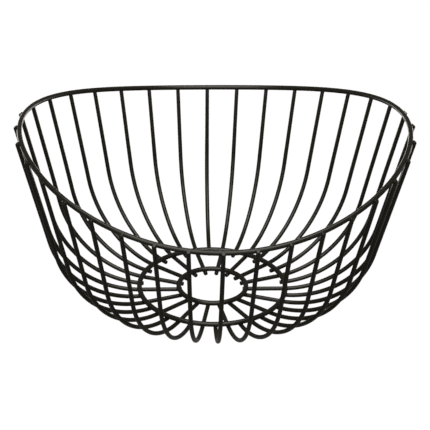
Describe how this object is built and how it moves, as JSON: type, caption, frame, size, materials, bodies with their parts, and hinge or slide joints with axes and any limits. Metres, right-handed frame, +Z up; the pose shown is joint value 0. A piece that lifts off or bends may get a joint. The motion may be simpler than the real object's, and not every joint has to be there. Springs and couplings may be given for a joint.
{
  "type": "wire produce basket",
  "caption": "Open wire basket that holds fruit and vegetables: a saddle-shaped rim hoop, wires that curve down and in to a flat base, and round base rings.",
  "frame": {"origin": "middle of the base, on the surface that the basket stands on", "axes": "+Z up through the open mouth; +X towards one of the rim's two high sides, along the basket's width; +Y towards one of the rim's two low sides"},
  "size_m": [0.3116, 0.2916, 0.1493],
  "materials": {
    "rim_coating": "satin black coating on the rim's steel wire",
    "base_ring_coating": "satin black coating on the base rings' steel wire",
    "side_wire_coating": "satin black coating on the side wires' steel wire"
  },
  "bodies": {
    "root": {"rim_hoop": "rim_coating", "outer_base_ring": "base_ring_coating", "inner_base_ring": "base_ring_coating", "long_side_wire_01": "side_wire_coating", "long_side_wire_02": "side_wire_coating", "long_side_wire_03": "side_wire_coating", "long_side_wire_04": "side_wire_coating", "long_side_wire_05": "side_wire_coating", "long_side_wire_06": "side_wire_coating", "long_side_wire_07": "side_wire_coating", "long_side_wire_08": "side_wire_coating", "long_side_wire_09": "side_wire_coating", "long_side_wire_10": "side_wire_coating", "long_side_wire_11": "side_wire_coating", "long_side_wire_12": "side_wire_coating", "long_side_wire_13": "side_wire_coating", "long_side_wire_14": "side_wire_coating", "long_side_wire_15": "side_wire_coating", "long_side_wire_16": "side_wire_coating", "long_side_wire_17": "side_wire_coating", "long_side_wire_18": "side_wire_coating", "short_side_wire_01": "side_wire_coating", "short_side_wire_02": "side_wire_coating", "short_side_wire_03": "side_wire_coating", "short_side_wire_04": "side_wire_coating", "short_side_wire_05": "side_wire_coating", "short_side_wire_06": "side_wire_coating", "short_side_wire_07": "side_wire_coating", "short_side_wire_08": "side_wire_coating", "short_side_wire_09": "side_wire_coating", "short_side_wire_10": "side_wire_coating", "short_side_wire_11": "side_wire_coating", "short_side_wire_12": "side_wire_coating", "short_side_wire_13": "side_wire_coating", "short_side_wire_14": "side_wire_coating", "short_side_wire_15": "side_wire_coating", "short_side_wire_16": "side_wire_coating", "short_side_wire_17": "side_wire_coating", "short_side_wire_18": "side_wire_coating"}
  },
  "joints": []
}
